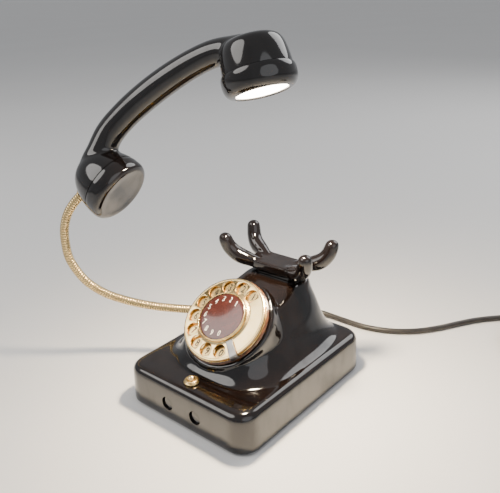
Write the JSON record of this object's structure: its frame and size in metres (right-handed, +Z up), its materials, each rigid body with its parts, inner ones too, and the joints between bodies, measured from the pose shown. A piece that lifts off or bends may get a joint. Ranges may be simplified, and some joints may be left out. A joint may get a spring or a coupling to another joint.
{
  "type": "telephone table lamp",
  "caption": "Black desk telephone with a rotary dial, rebuilt as a table lamp: its handset stands on a flexible brass neck with a lamp in the earpiece.",
  "frame": {"origin": "on the table under the middle of the plinth, on the underside of the base pad", "axes": "+Z up, -Y towards the user who faces the dial, +X to that user's right"},
  "size_m": [0.4467, 0.3747, 0.3273],
  "materials": {
    "bakelite": "polished black",
    "brass": "polished",
    "polished_brass": "mirror polished",
    "steel": "satin",
    "spring_steel": "bright",
    "brown_ring": "polished",
    "disc_brown": "polished",
    "rubber": "matt",
    "felt": "felt",
    "insulating_board": "matt",
    "lens": "frosted",
    "bulb_glass": "frosted",
    "cable": "satin"
  },
  "bodies": {
    "base": {"housing": "bakelite", "base_pad": "felt", "base_plate": "steel", "base_screw_1": "steel", "base_screw_2": "steel", "base_screw_3": "steel", "base_screw_4": "steel", "ballast_weight": "steel", "terminal_block": "insulating_board", "front_plug_left": "bakelite", "front_plug_right": "bakelite", "button_collar": "brass", "button_nut": "brass", "button_switch": "insulating_board", "button_spring": "spring_steel", "dial_bezel": "brown_ring", "number_plate": "brass", "finger_stop": "steel", "dial_back_plate": "steel", "dial_pillar_1": "brass", "dial_pillar_2": "brass", "dial_pillar_3": "brass", "return_spring": "spring_steel", "pulse_springs": "insulating_board", "cradle_spring_left": "spring_steel", "cradle_spring_right": "spring_steel", "pin_bracket": "steel", "hook_switch": "insulating_board", "neck_tube_1": "brass", "neck_base_fitting": "brass", "strain_relief": "rubber", "mains_lead": "cable", "lead_coil": "cable", "coil_tie": "rubber", "plug_body": "rubber", "plug_pin_1": "brass", "plug_pin_2": "brass"},
    "dial_wheel": {"finger_wheel": "polished_brass", "centre_disc": "disc_brown", "retaining_ring": "brass", "dial_spindle": "steel", "main_gear": "brass"},
    "governor": {"governor_pinion": "brass"},
    "cradle": {"cradle_fork": "bakelite", "cradle_pin_left": "steel", "cradle_pin_right": "steel"},
    "push_button": {"button_plunger": "polished_brass"},
    "neck_lower": {"neck_tube_2": "brass"},
    "neck_upper": {"neck_tube_3": "brass"},
    "handset": {"neck_tube_4": "brass", "neck_top_fitting": "brass", "handset_shell": "bakelite", "earpiece_cap": "bakelite", "mouthpiece_cap": "bakelite", "lamp_lens": "lens", "reflector": "steel", "lamp_bulb": "bulb_glass", "lamp_holder": "insulating_board", "handset_wire": "cable"}
  },
  "joints": [
    {"name": "dial_turn", "type": "hinge", "parent": "base", "child": "dial_wheel", "pos_m": [0, -0.0286, 0.08], "axis": [0, -0.6252, 0.7804], "range_deg": [-320, 0], "stiffness_Nm_per_rad": 0.006, "springref_deg": 34.38},
    {"name": "governor_spin", "type": "hinge", "parent": "base", "child": "governor", "pos_m": [0.0226, -0.0286, 0.08], "axis": [0, -0.6252, 0.7804], "range_deg": [-30, 1500]},
    {"name": "cradle_press", "type": "slide", "parent": "base", "child": "cradle", "axis": [0, 0, -1], "range_m": [0, 0.003], "stiffness_N_per_m": 400, "springref_m": -0.004, "deforming": ["cradle_spring_left", "cradle_spring_right"]},
    {"name": "button_press", "type": "slide", "parent": "base", "child": "push_button", "axis": [0, 0, -1], "range_m": [0, 0.002], "stiffness_N_per_m": 300, "springref_m": -0.002, "deforming": ["button_spring"]},
    {"name": "neck_swing", "type": "hinge", "parent": "base", "child": "neck_lower", "pos_m": [-0.08179, -0.01102, 0.05858], "axis": [0, 0, 1], "range_deg": [-25, 25]},
    {"name": "neck_bend", "type": "hinge", "parent": "neck_lower", "child": "neck_upper", "pos_m": [-0.14118, -0.06257, 0.0837], "axis": [0.5739, -0.8189, 0], "range_deg": [-12, 20]},
    {"name": "handset_tilt", "type": "hinge", "parent": "neck_upper", "child": "handset", "pos_m": [-0.15394, -0.08029, 0.15597], "axis": [0.5739, -0.8189, 0], "range_deg": [-15, 25]}
  ],
  "couplings": [
    {"joint": "governor_spin", "follows": "dial_turn", "ratio": -4.5}
  ]
}
